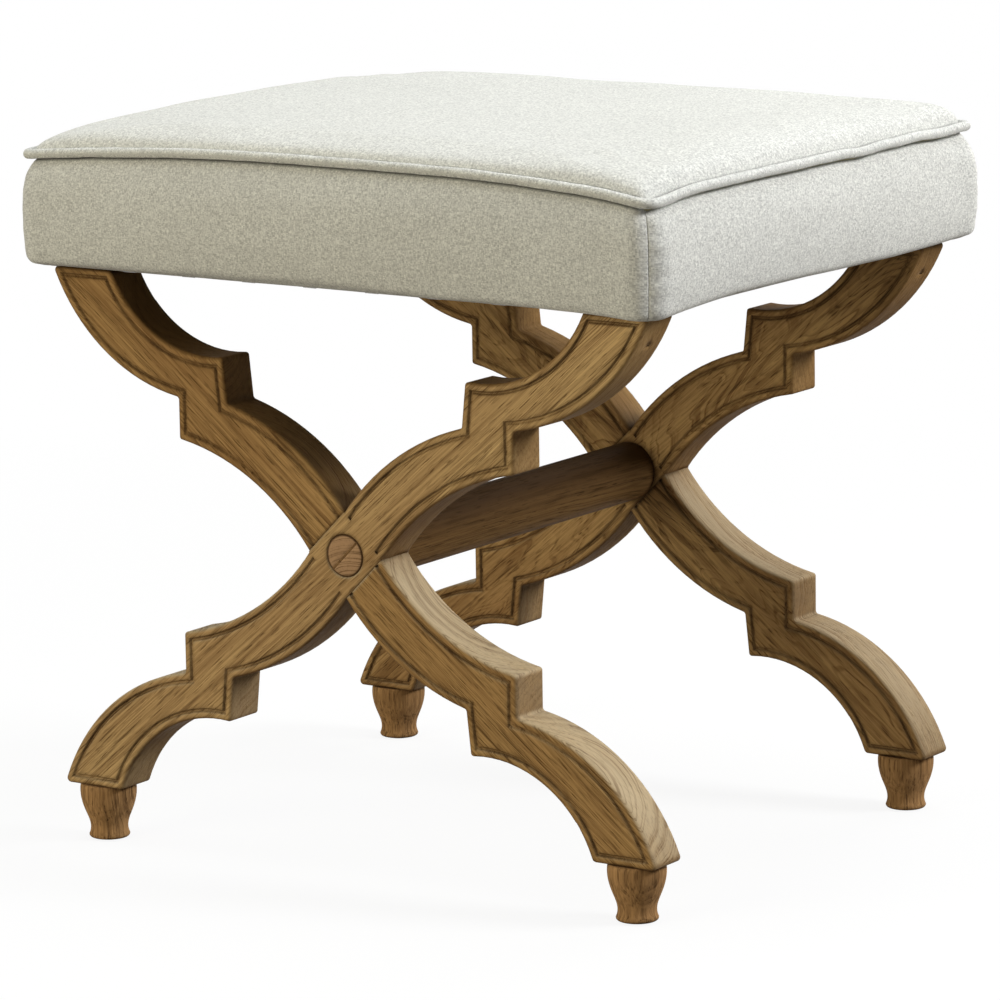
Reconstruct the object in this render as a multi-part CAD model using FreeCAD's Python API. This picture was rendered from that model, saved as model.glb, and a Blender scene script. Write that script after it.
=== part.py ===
import FreeCAD, Part
import math
import os

# Footstool: an upholstered box seat on two crossed frames joined by a turned stretcher.
# Millimetres. X runs along the wide front, Y from front to back, Z up.
# The origin is on the floor under the middle of the seat.

# Crossed frames
frame_spread = 369.0
leg_thickness = 31.0
leg_bottom = 38.0
leg_top = 386.0
crossing_height = 215.0
crossing_half = 28.3

# One arm of a frame, measured out and up from the crossing's centre
nose_out = 130.3
nose_rise = 64.0
nose_step_rise = 91.5
heel_out = 91.2
heel_rise = 90.2
heel_step_out = 94.4
heel_step_rise = 120.2
toe_out = 232.5
toe_width = 47.7
toe_rise = 175.2
outer_hollow_bow = 11.8
inner_hollow_bow = 9.4
outer_sweep_bow = 18.0
inner_sweep_bow = 18.5

# Rounding and the carved line that follows every edge of a frame's wide faces
step_round = 2.2
toe_round = 3.0
edge_round = 1.8
line_inset = 5.6
line_half_width = 1.5
line_half_floor = 0.5
line_depth = 1.6
line_overrun = 9.0

# Stretcher with round tenons that show as discs on the outer faces
stretcher_radius = 20.0
tenon_radius = 13.8
tenon_chamfer = 0.5
joint_gap = 0.1
wedge_depth = 20.0
wedge_half_thickness = 0.8
wedge_half_tip = 0.25

# Turned feet, their dowels and glides
foot_top_radius = 18.3
foot_shoulder_radius = 18.7
foot_shoulder_height = 30.5
foot_belly_radius = 16.1
foot_belly_height = 20.0
foot_waist_radius = 12.5
foot_waist_height = 9.0
foot_rim_radius = 13.6
foot_rim_height = 2.8
foot_sole_radius = 12.4
foot_top_round = 0.8
foot_dowel_radius = 5.0
foot_dowel_grip = 20.0
foot_dowel_seat = 16.0
glide_radius = 9.0
glide_thickness = 2.4
glide_stand = 1.0
glide_round = 0.5
nail_radius = 0.9
nail_length = 9.0

# Pairs of dowels between each leg top and the seat rail above it
top_dowel_radius = 4.0
top_dowel_grip = 20.0
top_dowel_spread = 16.0
hole_end_gap = 0.8

# Seat: how far the seam under the welt stands out from the frames and above them
seat_overhang_x = 9.0
seat_overhang_y = 15.5
seat_side_height = 71.0
seat_corner = 6.0
seam_arch = 9.5

# Seat frame
cover_stand = 6.0
rail_height = 42.0
front_rail_width = 42.0
side_rail_width = 30.0
board_thickness = 9.0
vent_radius = 12.0
block_leg = 50.0
block_height = 30.0
corner_dowel_radius = 4.0
corner_dowel_grip = 24.0
corner_dowel_low = 27.0
corner_dowel_spread = 10.0

# Screws
block_screw_radius = 2.0
block_screw_head = 4.0
block_screw_head_height = 2.6
block_screw_length = 34.0
block_screw_low = 9.0
block_screw_spread = 12.0
block_screw_inset = 29.0
screw_pocket_radius = 4.6
screw_pocket_depth = 9.0
board_screw_radius = 1.9
board_screw_head = 3.9
board_screw_head_height = 2.4
board_screw_length = 28.0
board_screw_end = 45.5

# Soft parts
soft_gap = 0.3
dust_thickness = 0.8
dust_inset = 14.0
flange_clear = 0.85
flange_thickness = 1.2
boxing_bulge = 5.5
boxing_inner = 5.7
boxing_top_inset = 1.0
cover_thickness = 1.4
wadding_thickness = 4.0
cover_edge_rise = 2.7
cover_inset = 5.1
shoulder_width = 30.0
shoulder_rise = 17.5
crown_rise = 19.5
welt_radius = 3.2
welt_rise = 3.6
welt_inset = 0.8

# Staples that hold the dust cover and the turned-under edge
staple_width = 10.0
staple_wire = 0.7
staple_leg = 7.0
staple_inset = 17.0
staple_clear = 16.5

# Shares of a size, from the middle outwards, and the form of the seat's crown
crown_station_shares = (0.0, 0.3, 0.55, 0.75, 0.88, 0.95, 0.985, 1.0)
crown_plateau_share = 0.8
shoulder_mid_shares = (0.29, 0.71)
boxing_profile_shares = (
    (0.0, -1.6),
    (0.012, -0.55),
    (0.05, 0.3),
    (0.16, 0.8),
    (0.4, 1.0),
    (0.68, 0.9),
    (0.9, 0.45),
)
foot_heel_share = 0.67
vent_out_share = 0.38
vent_back_share = 0.36
board_screw_mid_share = 0.34
crown_power = 8
front_staple_count = 8
side_staple_count = 6

overrun = 5.0
V = FreeCAD.Vector
up = V(0, 0, 1)
back = V(0, 1, 0)
right = V(1, 0, 0)

toe_inner_out = toe_out - toe_width
toe_middle = toe_out - toe_width / 2
seat_half_x = toe_out + seat_overhang_x
seat_half_y = frame_spread / 2 + seat_overhang_y
seam_height = leg_top + seat_side_height
frame_mid_y = (frame_spread - leg_thickness) / 2
rail_half_x = seat_half_x - cover_stand
rail_half_y = seat_half_y - cover_stand
dust_bottom = leg_top + soft_gap
flange_bottom = dust_bottom + dust_thickness + soft_gap
rail_bottom = flange_bottom + flange_thickness + soft_gap
board_bottom = rail_bottom + rail_height
board_top = board_bottom + board_thickness
inner_rail_y = rail_half_y - front_rail_width
inner_rail_x = rail_half_x - side_rail_width
flange_width = seat_half_x - toe_middle - top_dowel_spread / 2 - top_dowel_radius - flange_clear
corner_x = seat_half_x - welt_inset - seat_corner
corner_y = seat_half_y - welt_inset - seat_corner


def box(x0, x1, y0, y1, z0, z1):
    return Part.makeBox(x1 - x0, y1 - y0, z1 - z0, V(x0, y0, z0))


def rod(radius, start, direction, length):
    return Part.makeCylinder(radius, length, start, direction)


def segment(a, b):
    return Part.makeLine(a, b)


def arc(a, middle, b):
    return Part.Arc(a, middle, b).toShape()


def prism(edges, travel):
    return Part.Face(Part.Wire(edges)).extrude(travel)


def turned(edges):
    """Solid of revolution about the Z axis from a closed outline."""
    return Part.Face(Part.Wire(edges)).revolve(V(0, 0, 0), up, 360)


def joined(shapes):
    return shapes[0].multiFuse(shapes[1:]).removeSplitter()


# Outline of an arm, in the plane of the frame


def bowed(start, end, bow):
    """Circle through two points; a positive bow bulges to the left of the way from start to end."""
    chord = end - start
    normal = V(-chord.z, 0, chord.x).normalize()
    radius = (chord.Length ** 2 / 4 + bow ** 2) / (2 * abs(bow))
    side = math.copysign(1, bow)
    return (start + end) / 2 + normal * (bow - side * radius), radius


def ring_track(circle, grow):
    centre, radius = circle
    return Part.Circle(centre, V(0, -1, 0), radius + grow)


def line_track(a, b, shift):
    """Straight track through two points, moved to its left by the shift."""
    left = V(a.z - b.z, 0, b.x - a.x).normalize() * shift
    return Part.Line(a + left, b + left)


def meeting(one, other, near):
    points = [V(p.X, 0, p.Z) for p in one.intersectCC(other)]
    return min(points, key=lambda point: (point - near).Length)


def stretch(track, a, b):
    """The part of a track between two points, the shorter way round on a circle."""
    if hasattr(track, "Radius"):
        outward = ((a + b) / 2 - track.Center).normalize()
        return arc(a, track.Center + outward * track.Radius, b)
    return segment(a, b)


def arm_outline(reach, inset, root_shift):
    """Closed wire of one arm that ends level at the reach, moved inwards by the inset."""
    root_outer = V(crossing_half, 0, 0)
    root_inner = V(0, 0, crossing_half)
    nose = V(nose_out, 0, nose_rise)
    nose_step = V(nose_out, 0, nose_step_rise)
    heel = V(heel_out, 0, heel_rise)
    heel_step = V(heel_step_out, 0, heel_step_rise)
    toe = V(toe_out, 0, toe_rise)
    toe_inner = V(toe_inner_out, 0, toe_rise)
    tracks = [
        ring_track(bowed(root_outer, nose, outer_hollow_bow), inset),
        line_track(nose, nose_step, inset),
        ring_track(bowed(nose_step, toe, -outer_sweep_bow), -inset),
        line_track(V(toe_out, 0, reach), V(toe_inner_out, 0, reach), inset),
        ring_track(bowed(heel_step, toe_inner, -inner_sweep_bow), inset),
        line_track(heel_step, heel, inset),
        ring_track(bowed(root_inner, heel, inner_hollow_bow), -inset),
        line_track(root_inner, root_outer, -root_shift),
    ]
    near = [
        nose,
        nose_step,
        V(toe_out, 0, reach),
        V(toe_inner_out, 0, reach),
        heel_step,
        heel,
        root_inner,
        root_outer,
    ]
    count = len(tracks)
    corners = [meeting(tracks[i], tracks[(i + 1) % count], near[i]) for i in range(count)]
    edges = [stretch(tracks[i], corners[i - 1], corners[i]) for i in range(count)]
    return Part.Wire(edges), corners


def carved_line(reach, face_y, inward):
    """Ring with sloped walls that is cut from a wide face, open at the crossing."""
    floor_y = face_y + inward * line_depth
    walls = []
    for side in (-1, 1):
        top_wire = arm_outline(reach, line_inset + side * line_half_width, line_overrun)[0]
        low_wire = arm_outline(reach, line_inset + side * line_half_floor, line_overrun)[0]
        top_wire.translate(back * face_y)
        low_wire.translate(back * floor_y)
        walls.append(Part.makeLoft([top_wire, low_wire], True, True))
    return walls[0].cut(walls[1])


def edges_at(solid, points):
    """Edges square to the frame's plane that stand at the given corners."""
    found = []
    for edge in solid.Edges:
        a, b = edge.Vertexes[0].Point, edge.Vertexes[-1].Point
        square = abs(a.x - b.x) + abs(a.z - b.z) < joint_gap
        if square and any(math.hypot(a.x - p.x, a.z - p.z) < joint_gap for p in points):
            found.append(edge)
    return found


def on_root(point):
    return abs(point.x + point.z - crossing_half) < joint_gap


def rim_edges(solid):
    """Edges of both wide faces, apart from those on the line where the arm leaves the crossing."""
    found = []
    for edge in solid.Edges:
        middle = edge.valueAt((edge.FirstParameter + edge.LastParameter) / 2)
        on_face = abs(abs(middle.y) - leg_thickness / 2) < joint_gap
        if on_face and not on_root(middle):
            found.append(edge)
    return found


def arm(reach):
    """One arm about the crossing's centre, rising to the right, with rounded edges and carved lines."""
    half = leg_thickness / 2
    outline, corners = arm_outline(reach, 0, 0)
    outline.translate(back * -half)
    solid = Part.Face(outline).extrude(back * leg_thickness)
    nose, nose_step, toe, toe_inner, heel_step, heel = corners[:6]
    solid = solid.makeFillet(step_round, edges_at(solid, (nose, heel_step)))
    solid = solid.makeFillet(step_round, edges_at(solid, (nose_step, heel)))
    solid = solid.makeFillet(toe_round, edges_at(solid, (toe, toe_inner)))
    solid = solid.makeFillet(edge_round, rim_edges(solid))
    solid = solid.cut(carved_line(reach, -half, 1))
    return solid.cut(carved_line(reach, half, -1))


# Legs


def crossing_square(y0, y1):
    side = crossing_half * math.sqrt(2)
    block = box(-side / 2, side / 2, y0, y1, -side / 2, side / 2)
    block.rotate(V(0, 0, 0), back, 45)
    return block


def tenon_bore():
    """Round hole through the crossing with a small chamfer on both faces."""
    half = leg_thickness / 2
    radius = tenon_radius + joint_gap
    bore = rod(radius, V(0, -half - overrun, 0), back, leg_thickness + 2 * overrun)
    flare = [bore]
    for side in (-1, 1):
        start = V(0, side * (half - tenon_chamfer), 0)
        flare.append(Part.makeCone(radius, radius + tenon_chamfer, tenon_chamfer, start, back * side))
    return joined(flare)


def leg():
    """One leg about the crossing's centre: it rises to the right and has the joint's front half."""
    half = leg_thickness / 2
    upper = arm(leg_top - crossing_height)
    lower = arm(crossing_height - leg_bottom)
    lower.rotate(V(0, 0, 0), back, 180)
    solid = joined([upper, lower, crossing_square(-half, 0)])
    solid = solid.cut(tenon_bore())
    foot_hole = foot_dowel_radius + joint_gap
    foot_base = V(-toe_middle, 0, leg_bottom - crossing_height - overrun)
    solid = solid.cut(rod(foot_hole, foot_base, up, foot_dowel_grip + hole_end_gap + overrun))
    for shift in (-1, 1):
        dowel_out = toe_middle + shift * top_dowel_spread / 2
        dowel_base = V(dowel_out, 0, leg_top - crossing_height - top_dowel_grip - hole_end_gap)
        hole = rod(top_dowel_radius + joint_gap, dowel_base, up, top_dowel_grip + hole_end_gap + overrun)
        solid = solid.cut(hole)
    return solid


def legs():
    """The same leg four times; turning it half round gives the one that falls to the right."""
    pieces = {}
    pattern = leg()
    for name, side in (("front", -1), ("back", 1)):
        place = V(0, side * frame_mid_y, crossing_height)
        rising = pattern.copy()
        rising.translate(place)
        falling = pattern.copy()
        falling.rotate(V(0, 0, 0), up, 180)
        falling.translate(place)
        pieces[name + "_leg_rising"] = rising
        pieces[name + "_leg_falling"] = falling
    return pieces


# Stretcher


def wedge(side):
    """Thin taper driven into a tenon's end, along the rising leg."""
    end = side * frame_spread / 2
    inner = end - side * wedge_depth
    outline = [
        V(-wedge_half_thickness, end, 0),
        V(wedge_half_thickness, end, 0),
        V(wedge_half_tip, inner, 0),
        V(-wedge_half_tip, inner, 0),
    ]
    edges = [segment(outline[i - 1], outline[i]) for i in range(len(outline))]
    blade = prism(edges, up * (2 * tenon_radius))
    blade.translate(up * -tenon_radius)
    blade.rotate(V(0, 0, 0), back, 45)
    core = rod(tenon_radius - tenon_chamfer, V(0, -frame_spread / 2, 0), back, frame_spread)
    return blade.common(core)


def stretcher_pieces():
    half = frame_spread / 2
    shoulder = half - leg_thickness
    body = rod(stretcher_radius, V(0, -shoulder, 0), back, 2 * shoulder)
    tenon = rod(tenon_radius, V(0, -half, 0), back, 2 * half)
    tenon = tenon.makeChamfer(tenon_chamfer, [e for e in tenon.Edges if len(e.Vertexes) == 1])
    solid = body.fuse(tenon)
    pieces = {}
    for name, side in (("front", -1), ("back", 1)):
        blade = wedge(side)
        solid = solid.cut(blade)
        pieces["stretcher_wedge_" + name] = blade
    pieces["stretcher"] = solid
    for shape in pieces.values():
        shape.translate(up * crossing_height)
    return pieces


# Feet


def foot():
    top = V(foot_top_radius, 0, leg_bottom)
    rim = V(foot_rim_radius, 0, foot_rim_height)
    sole = V(foot_sole_radius, 0, glide_stand)
    side = Part.BSplineCurve()
    side.interpolate([
        top,
        V(foot_shoulder_radius, 0, foot_shoulder_height),
        V(foot_belly_radius, 0, foot_belly_height),
        V(foot_waist_radius, 0, foot_waist_height),
        rim,
    ])
    bend_out = foot_sole_radius + (foot_rim_radius - foot_sole_radius) * foot_heel_share
    heel_mid = V(bend_out, 0, foot_rim_height - (foot_rim_height - glide_stand) * foot_heel_share)
    edges = [
        segment(V(0, 0, glide_stand), sole),
        arc(sole, heel_mid, rim),
        side.toShape(),
        segment(top, V(0, 0, leg_bottom)),
        segment(V(0, 0, leg_bottom), V(0, 0, glide_stand)),
    ]
    solid = turned(edges)
    top_edges = [e for e in solid.Edges if abs(e.BoundBox.ZMin - leg_bottom) < joint_gap]
    round_top = [e for e in top_edges if len(e.Vertexes) == 1 and e.BoundBox.ZLength < joint_gap]
    solid = solid.makeFillet(foot_top_round, round_top)
    hole_depth = foot_dowel_seat + hole_end_gap
    hole_base = V(0, 0, leg_bottom - hole_depth)
    dowel_hole = rod(foot_dowel_radius + joint_gap, hole_base, up, hole_depth + overrun)
    recess = rod(glide_radius + joint_gap, V(0, 0, -overrun), up, glide_thickness + overrun)
    nail_hole = rod(nail_radius, V(0, 0, glide_thickness), up, nail_length)
    return solid.cut(dowel_hole).cut(recess).cut(nail_hole)


def foot_dowel():
    length = foot_dowel_seat + foot_dowel_grip
    return rod(foot_dowel_radius, V(0, 0, leg_bottom - foot_dowel_seat), up, length)


def glide():
    disc = rod(glide_radius, V(0, 0, 0), up, glide_thickness)
    low_edge = [e for e in disc.Edges if e.BoundBox.ZMax < joint_gap and len(e.Vertexes) == 1]
    disc = disc.makeFillet(glide_round, low_edge)
    nail = rod(nail_radius, V(0, 0, glide_thickness / 2), up, nail_length + glide_thickness / 2)
    return disc.fuse(nail)


def corner_places(out, away):
    """Names and places of the four corners."""
    for front, side_y in (("front", -1), ("back", 1)):
        for hand, side_x in (("left", -1), ("right", 1)):
            yield front + "_" + hand, V(side_x * out, side_y * away, 0)


def feet():
    pieces = {}
    patterns = {"foot_": foot(), "foot_dowel_": foot_dowel(), "glide_": glide()}
    for corner, place in corner_places(toe_middle, frame_mid_y):
        for prefix, pattern in patterns.items():
            shape = pattern.copy()
            shape.translate(place)
            pieces[prefix + corner] = shape
    return pieces


# Seat frame


def top_dowel_places(corner_place):
    side_x = math.copysign(1, corner_place.x)
    for shift in (-1, 1):
        yield V(side_x * (toe_middle + shift * top_dowel_spread / 2), corner_place.y, 0)


def top_dowels():
    pieces = {}
    for corner, place in corner_places(toe_middle, frame_mid_y):
        rods = []
        for spot in top_dowel_places(place):
            start = spot + up * (leg_top - top_dowel_grip)
            rods.append(rod(top_dowel_radius, start, up, rail_bottom - leg_top + 2 * top_dowel_grip))
        pieces["top_dowels_" + corner] = Part.makeCompound(rods)
    return pieces


def top_dowel_holes():
    holes = []
    depth = rail_bottom - leg_top + top_dowel_grip + hole_end_gap
    for corner, place in corner_places(toe_middle, frame_mid_y):
        for spot in top_dowel_places(place):
            holes.append(rod(top_dowel_radius + joint_gap, spot + up * leg_top, up, depth))
    return Part.makeCompound(holes)


def corner_dowel_rods(grow, lengthen):
    """Two level dowels at each corner, through the side rail's end into the front or back rail."""
    rods = {}
    out = rail_half_x - side_rail_width / 2
    for corner, place in corner_places(out, inner_rail_y):
        pair = []
        for step in (0, corner_dowel_spread):
            height = rail_bottom + corner_dowel_low + step
            start = place + V(0, -corner_dowel_grip - lengthen, height)
            pair.append(rod(corner_dowel_radius + grow, start, back, 2 * (corner_dowel_grip + lengthen)))
        rods[corner] = Part.makeCompound(pair)
    return rods


def screw(radius, head_radius, head_height, length):
    """Countersunk wood screw along -Z from the origin, with a pointed end."""
    head = Part.makeCone(head_radius, radius, head_height, V(0, 0, 0), up * -1)
    shank = rod(radius, V(0, 0, -head_height / 2), up * -1, length - head_height / 2 - 2 * radius)
    point = Part.makeCone(radius, 0, 2 * radius, V(0, 0, 2 * radius - length), up * -1)
    return joined([head, shank, point])


def block_screws():
    """Two screws through each corner block, one into either rail."""
    pieces = {}
    reach = block_leg - block_screw_inset - screw_pocket_depth
    pattern = screw(block_screw_radius, block_screw_head, block_screw_head_height, block_screw_length)
    for corner, place in corner_places(inner_rail_x, inner_rail_y):
        side_x = math.copysign(1, place.x)
        side_y = math.copysign(1, place.y)
        low = rail_bottom + rail_height - block_height + block_screw_low
        into_front = pattern.copy()
        into_front.rotate(V(0, 0, 0), right, 90 * side_y)
        into_front.translate(V(place.x - side_x * block_screw_inset, place.y - side_y * reach, low))
        into_side = pattern.copy()
        into_side.rotate(V(0, 0, 0), back, -90 * side_x)
        high = low + block_screw_spread
        into_side.translate(V(place.x - side_x * reach, place.y - side_y * block_screw_inset, high))
        pieces[corner] = [into_front, into_side]
    return pieces


def corner_blocks(screws):
    blocks = {}
    base = rail_bottom + rail_height - block_height
    reach = block_leg - block_screw_inset - screw_pocket_depth
    for corner, place in corner_places(inner_rail_x, inner_rail_y):
        side_x = math.copysign(1, place.x)
        side_y = math.copysign(1, place.y)
        a = V(place.x, place.y, base)
        b = a - right * (side_x * block_leg)
        c = a - back * (side_y * block_leg)
        block = prism([segment(a, b), segment(b, c), segment(c, a)], up * block_height)
        low = a + up * block_screw_low
        high = low + up * block_screw_spread
        pocket = screw_pocket_depth + overrun
        front_mouth = low - right * (side_x * block_screw_inset) - back * (side_y * (reach + pocket))
        side_mouth = high - right * (side_x * (reach + pocket)) - back * (side_y * block_screw_inset)
        block = block.cut(rod(screw_pocket_radius, front_mouth, back * side_y, pocket))
        block = block.cut(rod(screw_pocket_radius, side_mouth, right * side_x, pocket))
        for piece in screws[corner]:
            block = block.cut(piece)
        blocks["corner_block_" + corner] = block
    return blocks


def board_screw_places():
    line_y = rail_half_y - front_rail_width / 2
    far_x = rail_half_x - board_screw_end
    near_x = far_x * board_screw_mid_share
    for y in (-line_y, line_y):
        for x in (-far_x, -near_x, near_x, far_x):
            yield V(x, y, board_top)
    for x in (-1, 1):
        yield V(x * (rail_half_x - side_rail_width / 2), 0, board_top)


def board_screws():
    pattern = screw(board_screw_radius, board_screw_head, board_screw_head_height, board_screw_length)
    shapes = []
    for place in board_screw_places():
        shape = pattern.copy()
        shape.translate(place)
        shapes.append(shape)
    return Part.makeCompound(shapes)


def staple_places():
    """Middle of each staple's crown, and whether it lies along X."""
    places = []
    reach_x = toe_inner_out - staple_clear
    reach_y = frame_spread / 2 - leg_thickness - staple_clear
    y = seat_half_y - staple_inset
    for i in range(front_staple_count):
        x = reach_x * (2 * i / (front_staple_count - 1) - 1)
        places.append((V(x, -y, dust_bottom), True))
        places.append((V(x, y, dust_bottom), True))
    x = seat_half_x - staple_inset
    for i in range(side_staple_count):
        y = reach_y * (2 * i / (side_staple_count - 1) - 1)
        places.append((V(-x, y, dust_bottom), False))
        places.append((V(x, y, dust_bottom), False))
    return places


def staples():
    half = staple_width / 2
    wire = staple_wire
    parts = [
        box(-half, half, -wire / 2, wire / 2, -wire, 0),
        box(-half, wire - half, -wire / 2, wire / 2, -wire / 2, staple_leg),
        box(half - wire, half, -wire / 2, wire / 2, -wire / 2, staple_leg),
    ]
    pattern = joined(parts)
    shapes = []
    for place, along in staple_places():
        shape = pattern.copy()
        if not along:
            shape.rotate(V(0, 0, 0), up, 90)
        shape.translate(place)
        shapes.append(shape)
    return Part.makeCompound(shapes)


def seat_frame():
    screws = block_screws()
    pieces = corner_blocks(screws)
    for corner, pair in screws.items():
        pieces["block_screws_" + corner] = Part.makeCompound(pair)
    for corner, pair in corner_dowel_rods(0, 0).items():
        pieces["rail_dowels_" + corner] = pair
    pieces["board_screws"] = board_screws()
    pieces["underside_staples"] = staples()
    cutters = [top_dowel_holes(), pieces["board_screws"], pieces["underside_staples"]]
    cutters += list(corner_dowel_rods(joint_gap, hole_end_gap).values())
    cutters += [pieces["block_screws_" + corner] for corner in screws]
    spans = {
        "rail_front": (-rail_half_x, rail_half_x, -rail_half_y, -inner_rail_y),
        "rail_back": (-rail_half_x, rail_half_x, inner_rail_y, rail_half_y),
        "rail_left": (-rail_half_x, -inner_rail_x, -inner_rail_y, inner_rail_y),
        "rail_right": (inner_rail_x, rail_half_x, -inner_rail_y, inner_rail_y),
    }
    for name, span in spans.items():
        rail = box(*span, rail_bottom, board_bottom)
        for cutter in cutters:
            rail = rail.cut(cutter)
        pieces[name] = rail
    board = box(-rail_half_x, rail_half_x, -rail_half_y, rail_half_y, board_bottom, board_top)
    for side_x in (-1, 1):
        for side_y in (-1, 1):
            out, away = side_x * rail_half_x * vent_out_share, side_y * rail_half_y * vent_back_share
            vent = V(out, away, board_bottom - overrun)
            board = board.cut(rod(vent_radius, vent, up, board_thickness + 2 * overrun))
    pieces["seat_board"] = board.cut(pieces["board_screws"])
    return pieces


# Soft parts of the seat


def rounded_wire(half_x, half_y, corner, z):
    """Rectangle with round corners at a height, from lines and quarter arcs."""
    diagonal = corner * (1 - math.sqrt(1 / 2))
    edges = []
    signs = ((1, -1), (1, 1), (-1, 1), (-1, -1))
    for i, (sx, sy) in enumerate(signs):
        along_x = V(sx * (half_x - corner), sy * half_y, z)
        along_y = V(sx * half_x, sy * (half_y - corner), z)
        middle = V(sx * (half_x - diagonal), sy * (half_y - diagonal), z)
        first, last = (along_x, along_y) if sx * sy < 0 else (along_y, along_x)
        edges.append(arc(first, middle, last))
        next_x, next_y = signs[(i + 1) % len(signs)]
        if sx * sy < 0:
            edges.append(segment(last, V(next_x * half_x, next_y * (half_y - corner), z)))
        else:
            edges.append(segment(last, V(next_x * (half_x - corner), next_y * half_y, z)))
    return Part.Wire(edges)


def arched_block(height):
    """Everything above a surface that is arched from left to right, for trimming."""
    far = seat_half_x + boxing_bulge + overrun
    lift = 2 * crown_rise + seam_arch
    low_left = V(-corner_x, 0, height)
    low_right = V(corner_x, 0, height)
    outline = [low_right, V(far, 0, height), V(far, 0, height + lift)]
    outline += [V(-far, 0, height + lift), V(-far, 0, height), low_left]
    edges = [segment(outline[i], outline[i + 1]) for i in range(len(outline) - 1)]
    edges.append(arc(low_left, V(0, 0, height + seam_arch), low_right))
    wide = 2 * (seat_half_y + boxing_bulge + overrun)
    block = prism(edges, back * wide)
    block.translate(back * (-wide / 2))
    return block


def boxing_ring():
    """The band round the seat: bulging sides, rolled under, with a turned-in flange."""
    height = seam_height + seam_arch - flange_bottom
    wires = []
    for rise_share, bulge_share in boxing_profile_shares:
        stand = boxing_bulge * bulge_share
        z = flange_bottom + height * rise_share
        wires.append(rounded_wire(seat_half_x + stand, seat_half_y + stand, seat_corner, z))
    top_x = seat_half_x - boxing_top_inset
    top_y = seat_half_y - boxing_top_inset
    wires.append(rounded_wire(top_x, top_y, seat_corner, flange_bottom + height))
    outer = Part.makeLoft(wires, True, False)
    inner_x = seat_half_x - boxing_inner
    inner_y = seat_half_y - boxing_inner
    cavity_top = flange_bottom + height + overrun
    cavity_bottom = flange_bottom + flange_thickness
    cavity = box(-inner_x, inner_x, -inner_y, inner_y, cavity_bottom, cavity_top)
    window_x = seat_half_x - flange_width
    window_y = seat_half_y - flange_width
    window = box(-window_x, window_x, -window_y, window_y, flange_bottom - overrun, cavity_top)
    return outer.cut(cavity).cut(window).cut(arched_block(seam_height))


def boxing_panels(cutter):
    """The band in its four panels, mitred at the corners where their seams are."""
    ring = boxing_ring().cut(cutter)
    far_x = seat_half_x + boxing_bulge + overrun
    far_y = seat_half_y + boxing_bulge + overrun
    middle = far_x - far_y
    bottom = flange_bottom - overrun
    height = seam_height + seam_arch - bottom + overrun
    inner_left, inner_right = V(-middle, 0, bottom), V(middle, 0, bottom)
    left_front, left_back = V(-far_x, -far_y, bottom), V(-far_x, far_y, bottom)
    corners = {
        "front": [inner_left, inner_right, V(far_x, -far_y, bottom), left_front],
        "left": [inner_left, left_front, left_back],
    }
    pieces = {}
    for name, opposite in (("front", "back"), ("left", "right")):
        points = corners[name]
        edges = [segment(points[i - 1], points[i]) for i in range(len(points))]
        panel = ring.common(prism(edges, up * height))
        turned_panel = panel.copy()
        turned_panel.rotate(V(0, 0, 0), up, 180)
        pieces["boxing_" + name] = panel
        pieces["boxing_" + opposite] = turned_panel
    return pieces


def crown_share(share):
    steep = math.sqrt(1 - share ** crown_power)
    return crown_plateau_share * steep + (1 - crown_plateau_share) * (1 - share ** 2)


def crown_line(half_x, y, edge_z, share):
    """Points of the crowned line over one station, from the left edge to the right edge."""
    inner_x = half_x - shoulder_width
    arch_inner = seam_arch * (1 - (inner_x / half_x) ** 2)
    inner_z = edge_z + arch_inner + shoulder_rise * share
    top_z = edge_z + seam_arch + crown_rise * share
    out_share, rise_share = shoulder_mid_shares
    mid_x = half_x - shoulder_width * out_share
    mid_z = edge_z + (inner_z - edge_z) * rise_share
    return [
        V(-half_x, y, edge_z),
        V(-mid_x, y, mid_z),
        V(-inner_x, y, inner_z),
        V(0, y, top_z),
        V(inner_x, y, inner_z),
        V(mid_x, y, mid_z),
        V(half_x, y, edge_z),
    ]


def crown_arcs(half_x, y, edge_z, share):
    line = crown_line(half_x, y, edge_z, share)
    return [arc(*line[0:3]), arc(*line[2:5]), arc(*line[4:7])]


def crowned(half_x, half_y, edge_z, thickness, floor):
    """Layer of one thickness under a crowned top or, without a thickness, a block on a flat floor."""
    shares = [-s for s in reversed(crown_station_shares[1:])] + list(crown_station_shares)
    wires = []
    for station in shares:
        y = half_y * station
        share = crown_share(abs(station))
        low_z = edge_z - thickness if thickness else floor
        high_left, high_right = V(-half_x, y, edge_z), V(half_x, y, edge_z)
        low_left, low_right = V(-half_x, y, low_z), V(half_x, y, low_z)
        edges = crown_arcs(half_x, y, edge_z, share) + [segment(high_right, low_right)]
        if thickness:
            edges += reversed(crown_arcs(half_x, y, low_z, share))
        else:
            edges.append(segment(low_right, low_left))
        edges.append(segment(low_left, high_left))
        wires.append(Part.Wire(edges))
    return Part.makeLoft(wires, True, False)


def cushion():
    """Foam, wadding and top cover, one over the other under the same crown."""
    half_x = seat_half_x - boxing_inner - soft_gap
    half_y = seat_half_y - boxing_inner - soft_gap
    cover_edge = seam_height + cover_edge_rise
    wadding_edge = cover_edge - cover_thickness - soft_gap
    foam_edge = wadding_edge - wadding_thickness - soft_gap
    cover_x = seat_half_x - cover_inset
    cover_y = seat_half_y - cover_inset
    return {
        "foam_pad": crowned(half_x, half_y, foam_edge, 0, board_top + soft_gap),
        "wadding": crowned(half_x, half_y, wadding_edge, wadding_thickness, 0),
        "top_cover": crowned(cover_x, cover_y, cover_edge, cover_thickness, 0),
    }


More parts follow.
